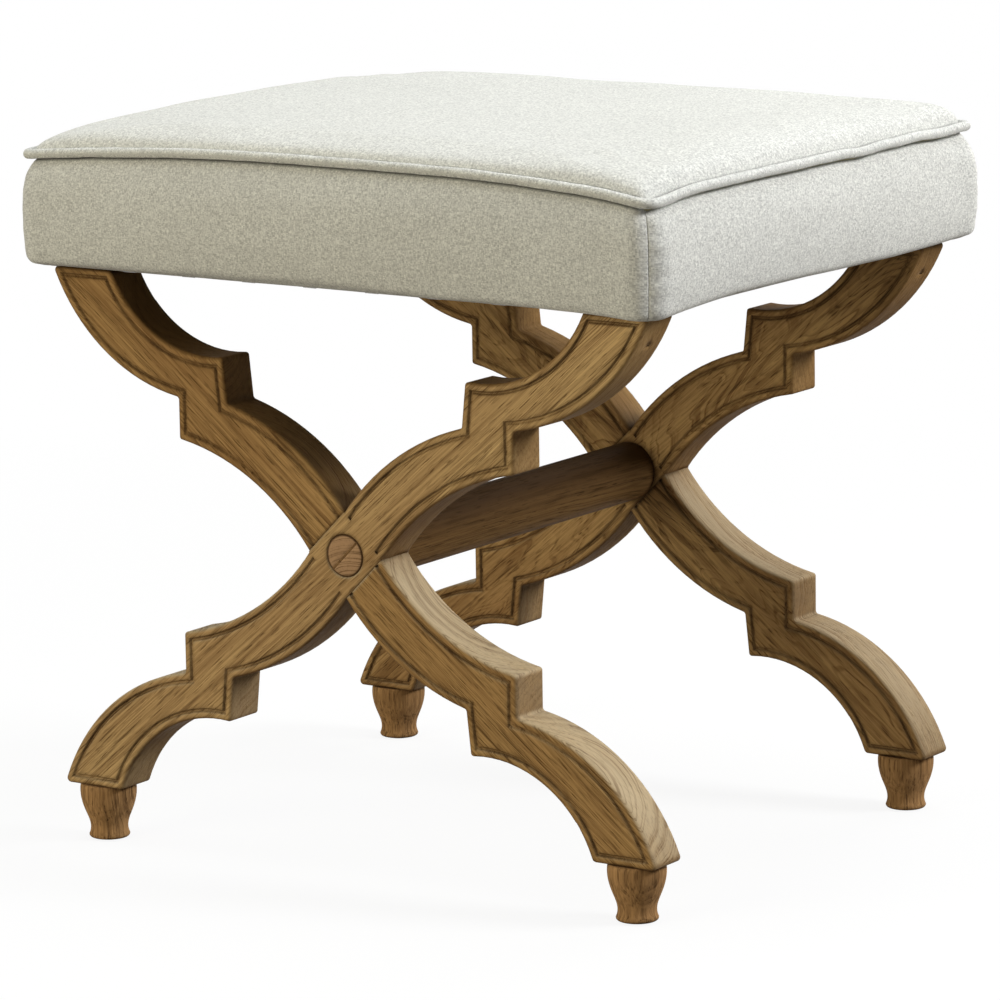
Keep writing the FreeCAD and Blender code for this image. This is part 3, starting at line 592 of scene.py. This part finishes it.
def dress_nodes():
    """Materials for the CAD pieces that stay."""
    upright = (0, math.radians(90), 0)
    lengthwise = (0, 0, math.radians(-90))
    finishes = {
        "dowel_": wood("dowel_wood", upright, (0.3, 0.1, 0.2), **raw_tones),
        "top_dowels_": wood("top_dowel_wood", upright, (0.6, 0.1, 0.2), **top_dowel_tones),
        "rail_": wood("rail_wood", (0, 0, 0), (0.7, 0.2, 0.1), **raw_tones),
        "corner_block_": wood("block_wood", (0, 0, 0), (0.1, 0.5, 0.3), **raw_tones),
        "seat_board": wood("board_wood", (0, 0, 0), (0.4, 0.9, 0.6), **raw_tones),
        "stretcher": wood("stretcher_wood", lengthwise, (0.2, 0.01, -0.19), **stretcher_tones),
        "stretcher_wedge_": wood("wedge_wood", (0, -grain_rise, 0), (0.5, 0.3, 0.1), **wedge_tones),
        "foot_": wood("foot_wood", upright, (0.1, 0.02, 0.0), **foot_tones),
        "glide_": plastic("glide_plastic", glide_tone),
        "screws": metal("screw_steel", screw_tone),
        "staples": metal("staple_steel", staple_tone),
    }
    legs = ("front_leg_rising", "front_leg_falling", "back_leg_rising", "back_leg_falling")
    for order, name in enumerate(legs):
        finishes[name] = leg_finish(name, order)
    for name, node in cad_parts.items():
        keys = [key for key in finishes if key in name]
        if not keys:
            continue
        chosen = finishes[max(keys, key=len)]
        node.data.materials.clear()
        node.data.materials.append(chosen)


# Shape of the seat


def crowded(count):
    """Places from -1 to 1, closer together towards the ends."""
    s = np.linspace(-1, 1, count + 1)
    return s * (1 + edge_crowding) - edge_crowding * s ** 3


def rounded(x, y, half_x, half_y, radius):
    """Pulls a square grid's corners onto round ones."""
    over_x = np.maximum(np.abs(x) - (half_x - radius), 0)
    over_y = np.maximum(np.abs(y) - (half_y - radius), 0)
    both = (over_x > 0) & (over_y > 0)
    length = np.where(both, np.hypot(over_x, over_y), 1.0)
    scale = np.where(both, np.maximum(over_x, over_y) / length, 1.0)
    new_x = np.sign(x) * np.where(both, half_x - radius + over_x * scale, np.abs(x))
    new_y = np.sign(y) * np.where(both, half_y - radius + over_y * scale, np.abs(y))
    return new_x, new_y


def seam_height(x, y):
    """Height of the seam at a place on the plan, carried on over the whole seat."""
    share_x = np.clip(np.abs(x) / seam_x, 0, 1)
    share_y = np.clip(np.abs(y) / seam_y, 0, 1)
    rise_x = seam_arch_x * (1 - share_x ** seam_power_x)
    rise_y = seam_arch_y * (1 - share_y ** seam_power_y)
    return seam_low + rise_x + rise_y


def seam_wander(x, y):
    """Small unevenness of the sewn seam: sideways and up."""
    side = sum(height * wave(x, y, 0.0, *kind) for height, *kind in seam_side_noise)
    rise = sum(height * wave(x, y, 0.0, *kind) for height, *kind in seam_rise_noise)
    beside = min(1.0, max(0.0, (x - seam_x) / wave_fade + 1))
    waves = sum(height * math.exp(-((y - place) / reach) ** 2) for place, height, reach in seam_waves)
    return side, rise + beside ** 2 * waves


def seam_loop():
    """Points, outward directions and running lengths once round the seam, from the front left corner."""
    xs = crowded(cells_x) * seam_x
    ys = crowded(cells_y) * seam_y
    square = [(x, -seam_y) for x in xs[:-1]] + [(seam_x, y) for y in ys[:-1]]
    square += [(x, seam_y) for x in xs[:0:-1]] + [(-seam_x, y) for y in ys[:0:-1]]
    square = np.array(square)
    x, y = rounded(square[:, 0], square[:, 1], seam_x, seam_y, corner_radius)
    pivot_x = np.clip(square[:, 0], corner_radius - seam_x, seam_x - corner_radius)
    pivot_y = np.clip(square[:, 1], corner_radius - seam_y, seam_y - corner_radius)
    out = np.stack([x - pivot_x, y - pivot_y], 1)
    out /= np.linalg.norm(out, axis=1)[:, None]
    points = np.stack([x, y, np.zeros(len(x))], 1)
    for point, normal in zip(points, out):
        side, rise = seam_wander(point[0], point[1])
        point[2] = seam_height(point[0], point[1]) + rise
        point[0] += normal[0] * side
        point[1] += normal[1] * side
    steps = np.linalg.norm(np.roll(points, -1, 0) - points, axis=1)
    run = np.concatenate([[0], np.cumsum(steps)])
    return points, out, run


def top_surface():
    """Grid of the cover's top: edge tucked down behind the welt, then the shoulder and the crown."""
    half_x = seam_x - cover_inset
    half_y = seam_y - cover_inset
    grid_y, grid_x = np.meshgrid(crowded(cells_y), crowded(cells_x), indexing="ij")
    x, y = rounded(grid_x * half_x, grid_y * half_y, half_x, half_y, corner_radius - cover_inset)
    away_x, away_y = np.abs(grid_x) ** shoulder_power, np.abs(grid_y) ** shoulder_power
    share = np.sqrt(np.clip((1 - away_x) * (1 - away_y), 0, 1))
    rim = seam_height(x * seam_x / half_x, y * seam_y / half_y) + cover_start
    plateau = top_level + top_rise_x * (1 - grid_x ** 2) + top_rise_y * (1 - grid_y ** 2)
    corner_signs = ((-1, -1), (1, -1), (1, 1), (-1, 1))
    for drop, (side_x, side_y) in zip(corner_drops, corner_signs):
        to_corner = np.hypot(side_x * half_x - x, side_y * half_y - y)
        plateau -= drop * np.exp(-(to_corner / corner_drop_reach) ** 2)
    z = rim + (plateau - rim) * share
    points = np.stack([x.ravel(), y.ravel(), z.ravel()], 1)
    inside = (1 - np.maximum(np.abs(grid_x), np.abs(grid_y))).ravel()
    for point, depth in zip(points, inside):
        rise = seam_wander(point[0], point[1])[1] * math.exp(-depth * seam_fading)
        height, *kind = top_noise
        soft = height * wave(point[0], point[1], 0.0, *kind) * min(1.0, depth * 5)
        point[2] += rise + soft
    return points


def top_faces():
    """Faces of the top grid."""
    wide = cells_x + 1
    faces = []
    for j in range(cells_y):
        for i in range(cells_x):
            a = j * wide + i
            faces.append((a, a + 1, a + wide + 1, a + wide))
    return faces


def top_rim():
    """Indices round the top grid, in the seam loop's order."""
    wide = cells_x + 1
    last = cells_y * wide
    front = list(range(cells_x))
    right = [j * wide + cells_x for j in range(cells_y)]
    back = [last + i for i in range(cells_x, 0, -1)]
    left = [j * wide for j in range(cells_y, 0, -1)]
    return front + right + back + left


def band_profile():
    """(share of the way down, bulge share, extra inset, extra drop) for each row of the band."""
    rows = [(0.0, 0.0, inset, drop) for inset, drop in hidden_hem]
    for i in range(1, band_rows + 1):
        t = i / band_rows
        if t < band_widest:
            bulge = 1 - abs((t - band_widest) / band_widest) ** band_power
        else:
            bulge = 1 - band_low_drop * ((t - band_widest) / (1 - band_widest)) ** 2
        rows.append((t, bulge, 0.0, 0.0))
    last = rows[-1][1]
    for i in range(1, foot_rows + 1):
        angle = math.pi / 2 * i / foot_rows
        inset, drop = band_foot_radius * (1 - math.cos(angle)), band_foot_radius * math.sin(angle)
        rows.append((1.0, last, inset, drop))
    for i in range(1, flange_rows + 1):
        rows.append((1.0, last, band_foot_radius + band_flange * i / flange_rows, None))
    return rows


def hem_line(run):
    """Height of the lower hem at each point of the seam loop."""
    corners = [run[c] for c in corner_columns()] + [run[-1]]
    places = np.interp([place for place, _ in hem_heights], range(5), corners)
    even = np.linspace(0, run[-1], hem_points, endpoint=False)
    heights = np.interp(even, places, [height for _, height in hem_heights])
    kernel = np.hanning(hem_rounding) / np.hanning(hem_rounding).sum()
    smooth = np.convolve(np.tile(heights, 3), kernel, "same")[hem_points:2 * hem_points]
    return np.interp(run[:-1], even, smooth, period=run[-1])


def corner_distances(run, i):
    """Way along the seam to each corner."""
    total = run[-1]
    return [abs((run[i] - run[c] + total / 2) % total - total / 2) for c in corner_columns()]


def corner_distance(run, i):
    """Way along the seam to the nearest corner."""
    return min(corner_distances(run, i))


def nearest_corner(run, i):
    """Which corner is nearest along the seam, counted from the front left one."""
    return int(np.argmin(corner_distances(run, i)))


def band_surface(loop, out, run):
    """Rows of the band from the hidden hem under the welt down to the turned-in flange."""
    hem = hem_line(run)
    back_right = run[corner_columns()[2]]
    columns = []
    for i, (point, normal) in enumerate(zip(loop, out)):
        sideways = abs(normal[0])
        near = math.exp(-(corner_distance(run, i) / welt_gap_reach) ** 2)
        gap = welt_gap_front + (welt_gap_side + welt_gap_corner * near) * sideways
        start = point[2] - gap
        height, *kind = hem_noise
        low = hem[i] + band_foot_radius + height * wave(point[0], point[1], 0, *kind)
        column = []
        swell = back_swell * math.exp(-((run[i] - back_right) / back_swell_reach) ** 2)
        for share, bulge, inset, drop in band_profile():
            offset = (band_bulge + swell) * bulge - inset
            z = flange_level if drop is None else start + (low - start) * share - drop
            column.append((point[0] + normal[0] * offset, point[1] + normal[1] * offset, z))
        columns.append(column)
    return np.array(columns).transpose(1, 0, 2)


def simulate(points, faces, held):
    """Blows the cloth up against its held seams and returns the moved points."""
    piece = mesh_piece("cloth_rig", points, faces)
    group = piece.vertex_groups.new(name="held")
    for weight in sorted(set(held)):
        group.add([i for i, w in enumerate(held) if w == weight], weight, "REPLACE")
    cloth = piece.modifiers.new("cloth", "CLOTH")
    settings = cloth.settings
    for key, value in cloth_settings.items():
        setattr(settings, key, value)
    settings.use_pressure = True
    settings.uniform_pressure_force = sim_pressure
    settings.vertex_group_mass = "held"
    settings.shrink_min = sim_shrink
    settings.effector_weights.gravity = 0
    cloth.collision_settings.use_collision = False
    cloth.point_cache.frame_start = 1
    cloth.point_cache.frame_end = sim_frames
    scene = bpy.context.scene
    scene.frame_start = 1
    scene.frame_end = sim_frames
    for step in range(1, sim_frames + 1):
        scene.frame_set(step)
    graph = bpy.context.evaluated_depsgraph_get()
    moved = piece.evaluated_get(graph).data
    result = np.array([v.co for v in moved.vertices])
    bpy.data.objects.remove(piece, do_unlink=True)
    scene.frame_set(1)
    shift = result - points
    length = np.linalg.norm(shift, axis=1)
    allowed = sim_cap * np.tanh(length / sim_cap)
    return points + shift * (allowed / np.maximum(length, 1e-9))[:, None]


def evened(shift, free, wrapped):
    """Takes most of the small ripples out of a grid of moves; free is 0 where the cloth is held."""
    smooth = shift.copy()
    for _ in range(even_rounds):
        if wrapped:
            beside = np.roll(smooth, 1, 1) + np.roll(smooth, -1, 1)
        else:
            wide = np.pad(smooth, ((0, 0), (1, 1), (0, 0)), "edge")
            beside = wide[:, 2:] + wide[:, :-2]
        tall = np.pad(smooth, ((1, 1), (0, 0), (0, 0)), "edge")
        smooth = (4 * smooth + beside + tall[2:] + tall[:-2]) / 8 * free[:, :, None]
    return smooth + even_keep * (shift - smooth)


def corner_columns():
    """Where the seam loop passes its four corners."""
    return [0, cells_x, cells_x + cells_y, 2 * cells_x + cells_y]


def band_details(rows, out, run):
    """Grooves, pillows and puckers beside the upright corner seams."""
    shaped = rows.copy()
    for j, row in enumerate(rows):
        for i, point in enumerate(row):
            away = corner_distance(run, i)
            if away > 6 * pucker_reach:
                continue
            groove = -corner_groove * math.exp(-(away / corner_groove_width) ** 2)
            pillow = corner_pillow * math.exp(-((away - corner_pillow_place) / corner_pillow_width) ** 2)
            phase = point[2] / pucker_pitch * 2 * math.pi + 3 * wave(point[0], point[1], point[2], 40, 2.2)
            fade = math.exp(-away / pucker_reach) * (1 - math.exp(-(away / pucker_start) ** 2))
            pucker = pucker_heights[nearest_corner(run, i)] * math.sin(phase) * fade
            pucker *= abs(out[i, 0])
            move = groove + pillow + pucker
            shaped[j, i, 0] += out[i, 0] * move
            shaped[j, i, 1] += out[i, 1] * move
    return shaped


def seat_shapes():
    """Top grid and band rows after the cloth is blown up."""
    loop, out, run = seam_loop()
    top = top_surface()
    band = band_surface(loop, out, run)
    row_count, column_count = band.shape[:2]
    faces = top_faces()
    first = len(top)
    for j in range(row_count - 1):
        for i in range(column_count):
            following = (i + 1) % column_count
            a, b = first + j * column_count, first + (j + 1) * column_count
            faces.append((a + i, b + i, b + following, a + following))
    held = [0.0] * (first + row_count * column_count)
    for i in top_rim():
        held[i] = 1.0
    columns = corner_columns()
    for j in range(row_count):
        for i in range(column_count):
            pinned = j <= 1 or j >= band_rows + 2 + foot_rows or i in columns
            if pinned:
                held[first + j * column_count + i] = 1.0
    points = np.concatenate([top, band.reshape(-1, 3)])
    shift = simulate(points, faces, held) - points
    free = 1 - np.array(held)
    grid = (cells_y + 1, cells_x + 1)
    top_shift = evened(shift[:first].reshape(*grid, 3), free[:first].reshape(grid), False)
    top = top + top_shift.reshape(-1, 3)
    band = band + evened(shift[first:].reshape(band.shape), free[first:].reshape(band.shape[:2]), True)
    return loop, out, run, top, band_details(band, out, run)


# Pieces of the seat


def laid_flat(top):
    """Each point's place on the flat cloth: its way over the surface from the middle lines."""
    grid = top.reshape(cells_y + 1, cells_x + 1, 3)
    places = np.zeros_like(grid)
    for axis, middle in ((1, cells_x // 2), (0, cells_y // 2)):
        steps = np.linalg.norm(np.diff(grid, axis=axis), axis=2)
        along = np.concatenate([np.zeros_like(np.take(steps, [0], axis)), np.cumsum(steps, axis)], axis)
        places[:, :, 1 - axis] = along - np.take(along, [middle], axis)
    return places.reshape(-1, 3)


def cover_piece(top):
    """Linen top of the cushion."""
    piece = mesh_piece("cushion_cover", top, top_faces(), laid_flat(top))
    thicken(piece, cover_thickness, finer=True)
    piece.data.materials.append(linen("linen_top", linen_base))
    ride_root(piece, "linen", "top_cover")


def drawn_in(top, node):
    """The cover's surface drawn in on the plan to the outline of the CAD node below it."""
    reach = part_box(node)[1]
    share = (reach.x / np.abs(top[:, 0]).max(), reach.y / np.abs(top[:, 1]).max())
    return top * np.array([min(1, share[0]), min(1, share[1]), 1])


def wadding_piece(top):
    """Wadding just under the linen."""
    lowered = drawn_in(top, "wadding") - np.array([0, 0, wadding_gap])
    piece = mesh_piece("wadding_layer", lowered, top_faces())
    thicken(piece, wadding_thickness)
    piece.data.materials.append(felt("wadding_fibre", wadding_tone))
    ride_root(piece, "wadding", "wadding")


def foam_piece(top):
    """Foam block: crowned above, straight sides, flat on the board."""
    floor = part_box("foam_pad")[0].z
    upper = drawn_in(top, "foam_pad") - np.array([0, 0, foam_gap])
    upper[:, 2] = np.maximum(upper[:, 2], floor + foam_edge)
    rim = top_rim()
    count = len(upper)
    points = np.concatenate([upper, upper[rim] * np.array([1, 1, 0]) + np.array([0, 0, floor])])
    faces = top_faces()
    for k in range(len(rim)):
        following = (k + 1) % len(rim)
        faces.append((rim[following], rim[k], count + k, count + following))
    faces.append(tuple(count + k for k in range(len(rim) - 1, -1, -1)))
    piece = mesh_piece("foam_block", points, faces)
    piece.data.materials.append(felt("foam_cells", foam_tone, coarse=600))
    ride_root(piece, "foam", "foam_pad")


def band_pieces(band, run, out):
    """The four panels of the band, with their edges turned in at the corner seams."""
    row_count, column_count = band.shape[:2]
    columns = corner_columns() + [column_count]
    names = ("front", "right", "back", "left")
    material = linen("linen_band", linen_base)
    for k, name in enumerate(names):
        picked = list(range(columns[k], columns[k + 1] + 1))
        wrapped = [i % column_count for i in picked]
        panel = band[:, wrapped]
        tucked = []
        for end, inner in ((0, 1), (-1, -2)):
            edge = panel[:, end]
            into = panel[:, inner] - edge
            into /= np.linalg.norm(into, axis=1)[:, None]
            outward = np.array([*out[wrapped[end]], 0])
            tucked.append(edge + into * tuck_in - outward * tuck_depth)
        panel = np.concatenate([tucked[0][:, None], panel, tucked[1][:, None]], 1)
        wide = panel.shape[1]
        points = panel.reshape(-1, 3)
        along = np.concatenate([[run[picked[0]]], run[picked], [run[picked[-1]]]])
        down = np.linalg.norm(np.diff(panel[:, wide // 2], axis=0), axis=1)
        down = np.concatenate([[0], np.cumsum(down)])
        weave = np.stack([np.tile(along, row_count), -np.repeat(down, wide), np.zeros(len(points))], 1)
        faces = []
        for j in range(row_count - 1):
            for i in range(wide - 1):
                a = j * wide + i
                faces.append((a, a + wide, a + wide + 1, a + 1))
        piece = mesh_piece("band_" + name, points, faces, weave)
        thicken(piece, band_thickness, finer=True)
        piece.data.materials.append(material)
        ride_root(piece, "linen", "boxing_" + name)


def tube(name, path, radii, sides):
    """Closed tube along a path that stays near level; radii may differ from place to place."""
    count = len(path)
    points, weave = [], []
    steps = np.linalg.norm(np.roll(path, -1, 0) - path, axis=1)
    run = np.concatenate([[0], np.cumsum(steps)])
    for i in range(count):
        ahead = path[(i + 1) % count] - path[i - 1]
        ahead /= np.linalg.norm(ahead)
        side = np.cross(ahead, (0, 0, 1))
        side /= np.linalg.norm(side)
        over = np.cross(side, ahead)
        for k in range(sides):
            angle = 2 * math.pi * k / sides
            direction = side * math.cos(angle) + over * math.sin(angle)
            wrinkle = sum(
                wave(run[i], turn * angle, 0, *kind) * height for height, turn, *kind in cord_wrinkles
            )
            points.append(path[i] + direction * (radii[i] + wrinkle))
            weave.append((run[i], angle * radii[i], 0))
    faces = []
    for i in range(count):
        a, b = i * sides, (i + 1) % count * sides
        for k in range(sides):
            after = (k + 1) % sides
            faces.append((a + k, a + after, b + after, b + k))
    return mesh_piece(name, points, faces, weave)


def welt_piece(loop, out, run):
    """Piping round the seam, with small ears at the corners."""
    total = run[-1]
    corners = [run[c] for c in corner_columns()]
    even = np.arange(0, total, cord_step)
    closed_loop = np.concatenate([loop, loop[:1]])
    closed_out = np.concatenate([out, out[:1]])
    path = np.stack([np.interp(even, run, closed_loop[:, k]) for k in range(3)], 1)
    normal = np.stack([np.interp(even, run, closed_out[:, k]) for k in range(2)], 1)
    radii = []
    for i, s in enumerate(even):
        away = min(abs((s - c + total / 2) % total - total / 2) for c in corners)
        ear = math.exp(-(away / ear_reach) ** 2)
        path[i, 2] += welt_rise + ear_rise * ear
        path[i, :2] += normal[i] * ear_out * ear
        radii.append(cord_radius * (1 + cord_unevenness * wave(s, 0, 0, 30, 7.7)))
    piece = tube("piping", path, radii, cord_sides)
    piece.data.materials.append(linen("linen_welt", linen_base, bias=math.radians(45)))
    ride_root(piece, "linen", "welt")


def dust_piece():
    """Black cloth stretched under the seat."""
    low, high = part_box("dust_cover")
    cells = dust_cells
    mid = (low.z + high.z) / 2
    points, faces = [], []
    for j in range(cells + 1):
        for i in range(cells + 1):
            x = low.x + (high.x - low.x) * i / cells
            y = low.y + (high.y - low.y) * j / cells
            inside = min(1, (1 - abs(2 * i / cells - 1)) * 4) * min(1, (1 - abs(2 * j / cells - 1)) * 4)
            sag = dust_sag * inside * (1 + wave(x, y, 0, 12, 3.3))
            points.append((x, y, mid + dust_lift + sag))
    for j in range(cells):
        for i in range(cells):
            a = j * (cells + 1) + i
            faces.append((a, a + cells + 1, a + cells + 2, a + 1))
    piece = mesh_piece("dust_cloth", points, faces)
    piece.data.materials.append(felt("dust_fibre", dust_tone, coarse=1200))
    ride_root(piece, "dust_cloth", "dust_cover")


def build_seat():
    """All soft pieces of the seat, from one set of shapes."""
    loop, out, run, top, band = seat_shapes()
    cover_piece(top)
    wadding_piece(top)
    foam_piece(top)
    band_pieces(band, run, out)
    welt_piece(loop, out, run)
    dust_piece()


# Floor, light and camera


def make_floor():
    """Pale floor: pure white far off, with a soft shadow near the stool."""
    corners = ((-1, -1), (1, -1), (1, 1), (-1, 1))
    points = [(floor_half * x, floor_half * y, 0) for x, y in corners]
    floor = mesh_piece("floor", points, [(0, 1, 2, 3)])
    s = Shader("floor_paint")
    far_off = s.node("VectorMath", operation="LENGTH")
    s.feed(far_off.inputs[0], s.node("TexCoord").outputs["Object"])
    shadow = s.spread(far_off.outputs["Value"], shadow_near, shadow_far, shadow_share, 0.0)
    bounce = s.node("BsdfDiffuse")
    bounce.inputs[0].default_value = (*floor_bounce, 1)
    pale = s.node("BsdfDiffuse")
    pale.inputs[0].default_value = (*floor_pale, 1)
    glow = s.node("Emission")
    glow.inputs[0].default_value = (1, 1, 1, 1)
    rays = s.node("LightPath").outputs
    seen = s.math("MAXIMUM", rays["Is Camera Ray"], rays["Is Glossy Ray"])
    seen = s.math("MAXIMUM", seen, rays["Is Transmission Ray"])
    white = s.node("MixShader")
    s.feed(white.inputs[0], shadow)
    s.feed(white.inputs[1], glow.outputs[0])
    s.feed(white.inputs[2], pale.outputs[0])
    blend = s.node("MixShader")
    s.feed(blend.inputs[0], seen)
    s.feed(blend.inputs[1], bounce.outputs[0])
    s.feed(blend.inputs[2], white.outputs[0])
    s.feed(s.output.inputs[0], blend.outputs[0])
    floor.data.materials.append(s.material)


def make_world():
    """Dim warm light from all round; rays that look at the background see white."""
    world = bpy.data.worlds.new("studio")
    bpy.context.scene.world = world
    world.use_nodes = True
    nodes, links = world.node_tree.nodes, world.node_tree.links
    nodes.clear()
    output = nodes.new("ShaderNodeOutputWorld")
    rays = nodes.new("ShaderNodeLightPath")
    soft = nodes.new("ShaderNodeBackground")
    soft.inputs[0].default_value = (*world_tone, 1)
    soft.inputs[1].default_value = world_strength
    white = nodes.new("ShaderNodeBackground")
    white.inputs[0].default_value = (1, 1, 1, 1)
    white.inputs[1].default_value = 1.0
    blend = nodes.new("ShaderNodeMixShader")
    seen = "Is Camera Ray", "Is Glossy Ray", "Is Transmission Ray"
    share = rays.outputs[seen[0]]
    for kind in seen[1:]:
        either = nodes.new("ShaderNodeMath")
        either.operation = "MAXIMUM"
        links.new(share, either.inputs[0])
        links.new(rays.outputs[kind], either.inputs[1])
        share = either.outputs[0]
    links.new(share, blend.inputs[0])
    links.new(soft.outputs[0], blend.inputs[1])
    links.new(white.outputs[0], blend.inputs[2])
    links.new(blend.outputs[0], output.inputs[0])


def area_light(name, place, aim, size, power, colour):
    """Soft box at a place, turned to face its aim."""
    light = bpy.data.lights.new(name, "AREA")
    light.shape = "RECTANGLE"
    light.size, light.size_y = size
    light.energy = power
    light.color = colour
    lamp = bpy.data.objects.new(name, light)
    bpy.context.scene.collection.objects.link(lamp)
    lamp.location = place
    lamp.rotation_euler = (Vector(aim) - Vector(place)).to_track_quat("-Z", "Y").to_euler()


def make_lights():
    for name, values in lamps.items():
        area_light(name, *values)


def make_camera():
    """Camera on the photograph's line of sight, turned by its small roll."""
    out_flat = math.cos(camera_elevation)
    back = Vector((
        math.sin(camera_azimuth) * out_flat,
        -math.cos(camera_azimuth) * out_flat,
        math.sin(camera_elevation),
    ))
    right = Vector((math.cos(camera_azimuth), math.sin(camera_azimuth), 0))
    upward = back.cross(right)
    turned_right = right * math.cos(camera_roll) + upward * math.sin(camera_roll)
    turned_up = upward * math.cos(camera_roll) - right * math.sin(camera_roll)
    data = bpy.data.cameras.new("camera")
    data.lens = camera_lens
    data.sensor_width = 36
    data.clip_end = 200
    camera = bpy.data.objects.new("camera", data)
    bpy.context.scene.collection.objects.link(camera)
    turn = Matrix((turned_right, turned_up, back)).transposed().to_4x4()
    camera.matrix_world = Matrix.Translation(camera_target + back * camera_distance) @ turn
    bpy.context.scene.camera = camera


dress_nodes()
build_seat()
make_floor()
make_world()
make_lights()
make_camera()
bpy.context.scene.view_settings.view_transform = "Standard"
